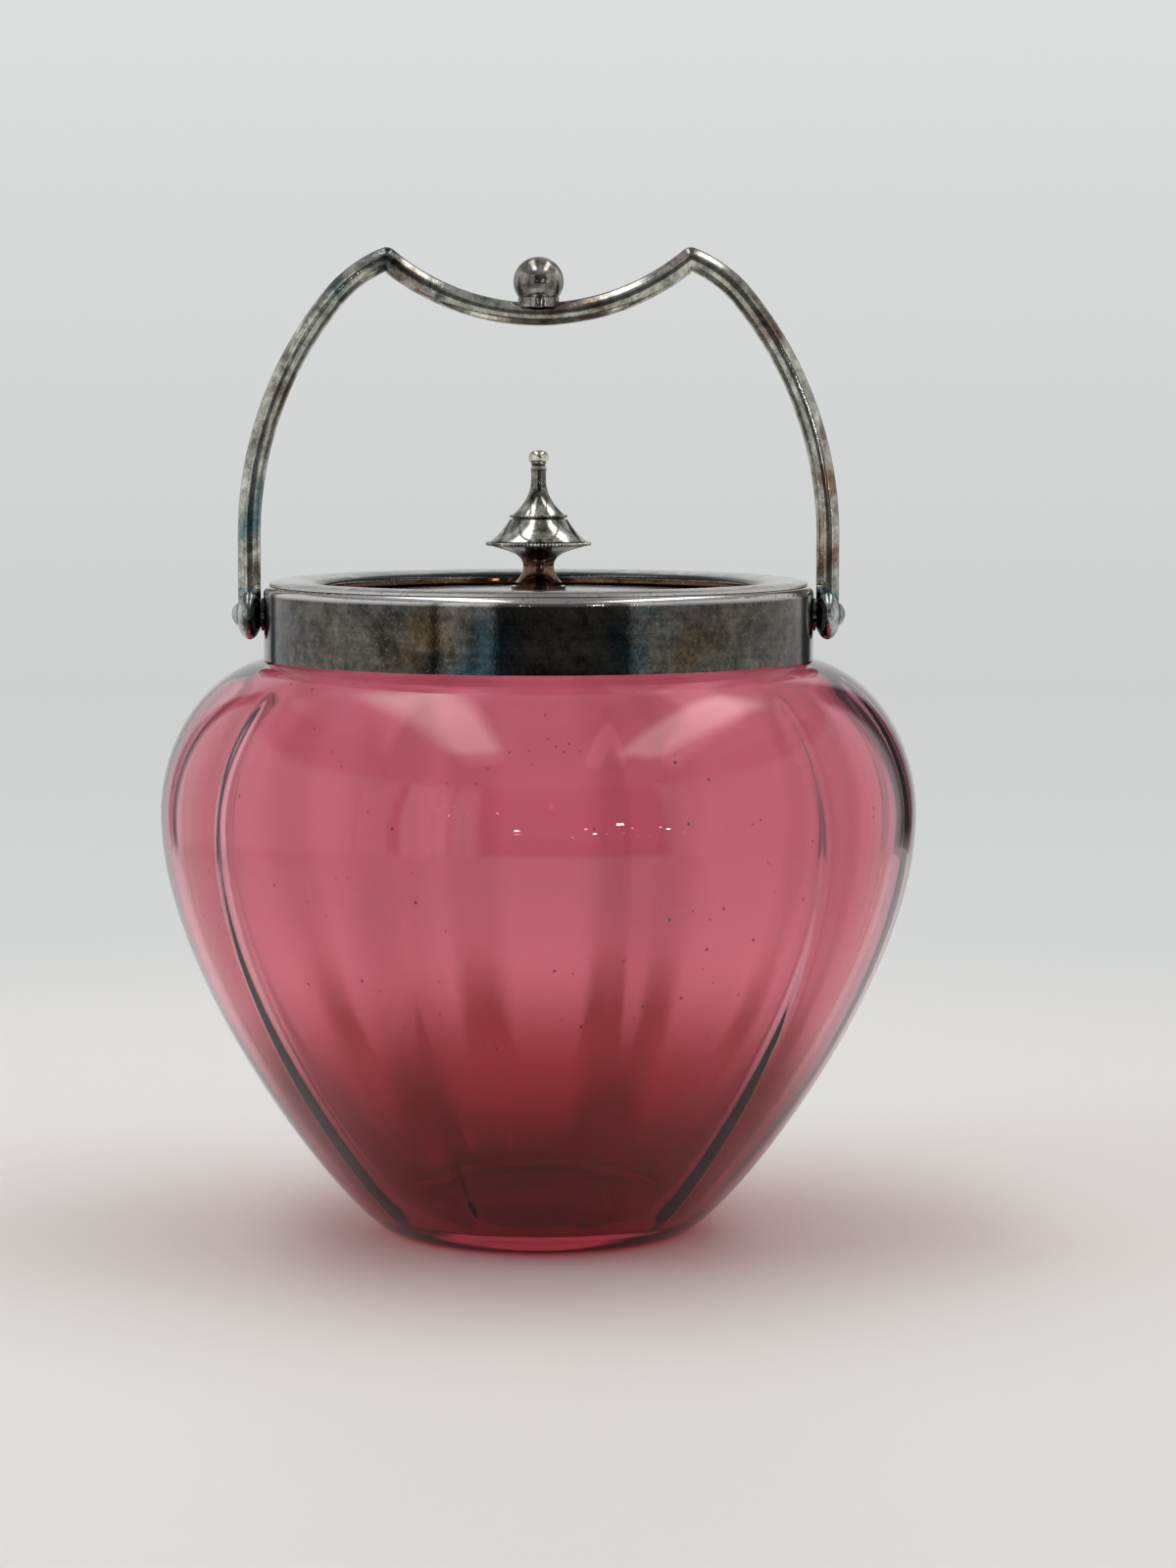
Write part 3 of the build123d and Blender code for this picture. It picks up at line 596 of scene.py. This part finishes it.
# What all the plated pieces share.
tarnish = {
    "clouds": {"Detail": 6.0, "Roughness": 0.62, "Distortion": 0.5},
    "hues": {"noise_dimensions": "4D", "W": 3.7, "Detail": 5.0, "Roughness": 0.6, "Distortion": 0.9},
    "hueSpread": 0.7,    # patches of hue to a cloud
    # noise values at which a film starts and is full, each as (for no film, change for a film all over):
    # they crowd round a half, so a share of the surface is a step of about 0.2 either side of it
    "film": ((0.66, -0.3), (0.40, -0.1)),
    "worn": ((0.66, -0.25), (0.78, -0.25)),
    "blued": ((0.34, 0.25), (0.22, 0.25)),
    # mottling about 3 mm across, which lifts and darkens the film
    "mottle": {"Scale": 330.0, "Detail": 7.0, "Roughness": 0.75, "Distortion": 0.4},
    "mottled": {"From Min": 0.34, "From Max": 0.66, "To Min": 0.45, "To Max": 1.65},
    "polish": (0.5, 1.8),    # times a finish's roughness, from a clear patch to a cloudy one
    # pits and crystals about 0.6 mm across
    "grain": {"Scale": 1500.0, "Detail": 2.0, "Roughness": 0.7},
    "crystals": {"From Min": 0.58, "From Max": 0.76},
    "pits": {"From Min": 0.25, "From Max": 0.42, "To Min": 0.45},
    "pitting": {"Strength": 0.05, "Distance": 0.0003},
    # polishing lines to a metre each way, which run round turned work, and every way on drawn work
    "turnedLines": (25.0, 25.0, 900.0),
    "drawnLines": (420.0, 420.0, 80.0),
    "lines": {"Scale": 1.0, "Detail": 4.0, "Roughness": 0.65},
    "lined": {"From Min": 0.32, "From Max": 0.55, "To Min": 0.72},
    "rubbedAndHighlit": "#d6d1cd",     # edges kept bright by wear, and painted paler still as highlight lines
    "grimeAndShade": "#1d1b17",      # dried polish, and painted shade in grooves
    "grimeAndShadeEdge": 0.6,        # share of a groove's half width that is dark all over
}


def tarnishedTone(tree, spot, clouds, hues, finish):
    # sound plate under three films, then the mottling over all
    colour = None
    for noise, reach, share, tone in ((clouds, "film", "dulled", "dull"), (hues, "worn", "warmed", "warm"),
                                      (hues, "blued", "cooled", "cool")):
        (start, startStep), (full, fullStep) = tarnish[reach]
        part = addNode(tree, "MapRange", {"From Min": start + startStep * finish[share],
                                          "From Max": full + fullStep * finish[share]}, {"Value": (noise, 0)})
        below = {6: (colour, 2)} if colour else {}
        colour = addNode(tree, "Mix", {"data_type": "RGBA", 6: linear(finish["bright"]),
                                       7: linear(finish[tone])}, {0: (part, 0), **below})
    mottle = addNode(tree, "TexNoise", tarnish["mottle"], {"Vector": (spot, "Object")})
    patchy = addNode(tree, "MapRange", tarnish["mottled"], {"Value": (mottle, 0)})
    return addNode(tree, "Mix", {"data_type": "RGBA", "blend_type": "MULTIPLY", 0: 1.0},
                   {6: (colour, 2), 7: (patchy, 0)})


def recessTarnishAndShade(tree, colour, hues, height, out, recess):
    # the sunk wall has gone coppery in bands, and its dark bands are painted shade in the recess
    outer, inner = (addNode(tree, "MapRange", {"From Min": start, "From Max": full},
                            {"Value": (out, "Value")}) for start, full in (recess["outer"], recess["inner"]))
    inside = addNode(tree, "Math", {"operation": "MULTIPLY"}, {0: (outer, 0), 1: (inner, 0)})
    wander = addNode(tree, "Math", {"operation": "MULTIPLY_ADD", 1: recess["wander"],
                                    2: -recess["wander"] / 2}, {0: (hues, 0)})
    level = addNode(tree, "Math", {"operation": "ADD"}, {0: (height, "Z"), 1: (wander, 0)})
    heights = [z for z, _ in recess["tarnishAndShadeBands"]]
    low, nextToTop, high = heights[0], heights[-2], heights[-1]
    place = addNode(tree, "MapRange", {"From Min": low, "From Max": high}, {"Value": (level, 0)})
    tarnishAndShadeBands = addNode(tree, "ValToRGB", None, {"Fac": (place, 0)})
    fillRamp(tarnishAndShadeBands, [((z - low) / (high - low), linear(tone)) for z, tone in recess["tarnishAndShadeBands"]])
    below = addNode(tree, "MapRange", {"From Min": high, "From Max": nextToTop}, {"Value": (level, 0)})
    sunk = addNode(tree, "Math", {"operation": "MULTIPLY"}, {0: (inside, 0), 1: (below, 0)})
    return addNode(tree, "Mix", {"data_type": "RGBA"}, {0: (sunk, 0), 6: (colour, 2), 7: (tarnishAndShadeBands, 0)})


def groovesGrimeAndShade(tree, colour, height, grooves):
    # painted shade and dried polish, dark across the grooves and over a few wider places
    for middle, half, depth in grooves:
        away = addNode(tree, "Math", {"operation": "SUBTRACT", 1: middle}, {0: (height, "Z")})
        away = addNode(tree, "Math", {"operation": "ABSOLUTE"}, {0: (away, 0)})
        grimeAndShade = addNode(tree, "MapRange", {"From Min": half, "From Max": half * tarnish["grimeAndShadeEdge"],
                                           "To Max": depth}, {"Value": (away, 0)})
        colour = addNode(tree, "Mix", {"data_type": "RGBA", 7: linear(tarnish["grimeAndShade"])},
                         {0: (grimeAndShade, 0), 6: (colour, 2)})
    return colour


def pittedAndLined(tree, spot, colour, grain, finish):
    sparkle = addNode(tree, "MapRange", {**tarnish["crystals"], "To Max": finish["flecked"]},
                      {"Value": (grain, 0)})
    colour = addNode(tree, "Mix", {"data_type": "RGBA", 7: linear(finish["fleck"])},
                     {0: (sparkle, 0), 6: (colour, 2)})
    pits = addNode(tree, "MapRange", tarnish["pits"], {"Value": (grain, 0)})
    direction = tarnish["turnedLines"] if finish["turned"] else tarnish["drawnLines"]
    stretch = addNode(tree, "Mapping", {"Scale": direction}, {"Vector": (spot, "Object")})
    lines = addNode(tree, "TexNoise", tarnish["lines"], {"Vector": (stretch, 0)})
    lined = addNode(tree, "MapRange", tarnish["lined"], {"Value": (lines, 0)})
    for marks in (pits, lined):
        colour = addNode(tree, "Mix", {"data_type": "RGBA", "blend_type": "MULTIPLY", 0: 1.0},
                         {6: (colour, 2), 7: (marks, 0)})
    return colour


def platedMaterial(name, finish, recess=None, rubbedAndHighlit=None, grooves=()):
    material = newMaterial(name)
    tree = material.node_tree
    spot = addNode(tree, "TexCoord")
    clouds = addNode(tree, "TexNoise", {**tarnish["clouds"], "Scale": 1 / finish["cloud"]},
                     {"Vector": (spot, "Object")})
    hues = addNode(tree, "TexNoise", {**tarnish["hues"], "Scale": tarnish["hueSpread"] / finish["cloud"]},
                   {"Vector": (spot, "Object")})
    height = addNode(tree, "SeparateXYZ", None, {0: (spot, "Object")})
    flat = addNode(tree, "VectorMath", {"operation": "MULTIPLY", 1: (1, 1, 0)}, {0: (spot, "Object")})
    out = addNode(tree, "VectorMath", {"operation": "LENGTH"}, {0: (flat, 0)})
    colour = tarnishedTone(tree, spot, clouds, hues, finish)
    if recess:
        colour = recessTarnishAndShade(tree, colour, hues, height, out, recess)
    clearest, cloudiest = tarnish["polish"]
    polish = addNode(tree, "MapRange", {"To Min": finish["roughness"] * clearest,
                                        "To Max": finish["roughness"] * cloudiest}, {"Value": (clouds, 0)})
    if rubbedAndHighlit:
        # a raised edge is kept bright by wear and finely scratched, and is painted paler as a highlight line
        edge = addNode(tree, "MapRange", {"From Min": rubbedAndHighlit["from"], "From Max": rubbedAndHighlit["full"]},
                       {"Value": (height, "Z") if rubbedAndHighlit["by"] == "height" else (out, "Value")})
        colour = addNode(tree, "Mix", {"data_type": "RGBA", 7: linear(tarnish["rubbedAndHighlit"])},
                         {0: (edge, 0), 6: (colour, 2)})
        polish = addNode(tree, "Mix", {"data_type": "FLOAT", 3: rubbedAndHighlit["roughness"]},
                         {0: (edge, 0), 2: (polish, 0)})
    colour = groovesGrimeAndShade(tree, colour, height, grooves)
    grain = addNode(tree, "TexNoise", tarnish["grain"], {"Vector": (spot, "Object")})
    colour = pittedAndLined(tree, spot, colour, grain, finish)
    pitting = addNode(tree, "Bump", tarnish["pitting"], {"Height": (grain, 0)})
    body = addNode(tree, "BsdfPrincipled", {"Metallic": 1.0},
                   {"Base Color": (colour, 2), "Roughness": (polish, 0), "Normal": (pitting, 0)})
    addNode(tree, "OutputMaterial", None, {"Surface": (body, 0)})
    return material


# worn edges of the collar's shoulder and the lid's rim: pale bands of wear that are also painted highlight
# lines
collarWornHighlight = {"by": "height", "from": 0.1314, "full": 0.1321, "roughness": 0.12}
lidWornHighlight = {"by": "radius", "from": 0.0545, "full": 0.0551, "roughness": 0.3}
lidRecess = {
    "outer": (0.0502, 0.0490),   # the bands start inside this
    "inner": (0.0449, 0.0453),   # and end at the pan
    "wander": 0.0012,            # how far the bands stray up and down
    # coppery tarnish, with painted shade as the dark bands low and high in the sunk wall
    "tarnishAndShadeBands": ((0.1309, "#8a8784"), (0.1312, "#25211e"), (0.1317, "#4c3628"), (0.1322, "#765238"),
              (0.1326, "#543b2a"), (0.1329, "#27302e"), (0.1336, "#34403e"), (0.1339, "#7f8c8a")),
}
bellBeadFoot, bellBeadTop = (corner[2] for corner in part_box("bell_beading"))
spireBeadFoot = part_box("spire_beading")[0][2]
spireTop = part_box("finial_spire")[1][2]
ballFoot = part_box("handle_ball")[0][2]
# painted shade and dried polish in the finial's grooves, and painted shade over its throat: height of the
# middle, half the width, and how dark
finialGrooves = (
    (bellBeadFoot + 0.00005, 0.0002, 0.9),      # behind the bell's beads
    (bellBeadTop + 0.00008, 0.0002, 0.9),       # just above them
    (spireBeadFoot - 0.00012, 0.00028, 0.9),    # between the bell and the spire
    (spireTop - 0.0031, 0.0003, 0.9),           # under the knob
    (spireTop - 0.0042, 0.00016, 0.9),          # under the knob's collar
    (spireTop - 0.0072, 0.0045, 0.65),          # painted shade over the spire's throat
)
ballShade = ((ballFoot + 0.0015, 0.0050, 0.5),)

collarPlate = platedMaterial("tarnishedPlateCollar", plate["collar"], rubbedAndHighlit=collarWornHighlight)
lidPlate = platedMaterial("tarnishedPlateLid", plate["lid"], lidRecess, lidWornHighlight)
handlePlate = platedMaterial("tarnishedPlateHandle", plate["handle"])
ballPlate = platedMaterial("tarnishedPlateBall", plate["ball"], grooves=ballShade)
knucklePlate = platedMaterial("tarnishedPlateKnuckle", plate["knuckle"])
finialPlate = platedMaterial("polishedPlateFinial", plate["finial"], grooves=finialGrooves)
beadPlate = platedMaterial("polishedPlateBeads", plate["finial"])
spoolPlate = platedMaterial("brownSpoolPaintedReflection", plate["spool"])
nickel = platedMaterial("nickelSilver", plate["nickel"])

# Cast plaster of Paris: chalky, off-white, with fine grit.
plaster = {
    "dark": "#b9ac98", "light": "#ddd5c6", "roughness": 0.85,
    "grit": {"Scale": 600.0, "Detail": 4.0},
    "bumps": {"Strength": 0.4, "Distance": 0.0003},
}


def plasterMaterial():
    material = newMaterial("castPlaster")
    tree = material.node_tree
    spot = addNode(tree, "TexCoord")
    grit = addNode(tree, "TexNoise", plaster["grit"], {"Vector": (spot, "Object")})
    tone = addNode(tree, "Mix", {"data_type": "RGBA", 6: linear(plaster["dark"]),
                                 7: linear(plaster["light"])}, {0: (grit, 0)})
    bumps = addNode(tree, "Bump", plaster["bumps"], {"Height": (grit, 0)})
    chalk = addNode(tree, "BsdfPrincipled", {"Roughness": plaster["roughness"]},
                    {"Base Color": (tone, 2), "Normal": (bumps, 0)})
    addNode(tree, "OutputMaterial", None, {"Surface": (chalk, 0)})
    return material


finishes = {
    "collar_band": collarPlate, "left_pivot_boss": collarPlate, "right_pivot_boss": collarPlate,
    "left_pivot_pin": knucklePlate, "right_pivot_pin": knucklePlate,
    "left_handle_knuckle": knucklePlate, "right_handle_knuckle": knucklePlate,
    "left_handle_arm": handlePlate, "right_handle_arm": handlePlate, "handle_centre_bar": handlePlate,
    "handle_ball": ballPlate, "handle_ball_cup": ballPlate,
    "lid_rim": lidPlate, "lid_pan": lidPlate, "lid_flange": lidPlate,
    "finial_spool": spoolPlate, "finial_bell": finialPlate, "finial_spire": finialPlate,
    "bell_beading": beadPlate, "spire_beading": beadPlate,
    "finial_stud": nickel, "finial_washer": nickel, "finial_nut": nickel,
    "plaster_bed": plasterMaterial(),
}
for name, finish in finishes.items():
    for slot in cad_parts[name].material_slots:
        slot.material = finish
print("metal plated")

# Beaded wire round the bell's edge and round the foot of the spire: small half-round beads, rolled.
beading = {
    "segments": 8, "rings": 6,
    "pitchShare": 0.86,    # a bead is a little narrower than its pitch, so that a dark gap shows
    "rows": (("bell_beading", "bellBeads", 88), ("spire_beading", "spireBeads", 46)),
}


def buildBeads(node, name, beads):
    low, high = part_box(node)
    radius = (high[2] - low[2]) / 2
    middle = (high[0] - radius, 0, (low[2] + high[2]) / 2)
    width = beading["pitchShare"] * math.pi * middle[0] / (beads * radius)
    dropSelection()
    bpy.ops.mesh.primitive_uv_sphere_add(segments=beading["segments"], ring_count=beading["rings"],
                                         radius=radius, location=middle)
    obj = bpy.context.object
    obj.name = name
    bpy.ops.object.transform_apply(location=True)
    bpy.ops.object.mode_set(mode="EDIT")
    bpy.ops.mesh.select_all(action="SELECT")
    bpy.ops.transform.resize(value=(1, width, 1), center_override=middle)
    bpy.ops.mesh.spin(steps=beads - 1, dupli=True, angle=2 * math.pi * (beads - 1) / beads,
                      center=(0, 0, 0), axis=(0, 0, 1))
    bpy.ops.object.mode_set(mode="OBJECT")
    bpy.ops.object.shade_smooth()
    dress(obj, beadPlate)
    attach(obj, "lid")
    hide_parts(node)
    print(name, len(obj.data.polygons), "faces")


for row in beading["rows"]:
    buildBeads(*row)
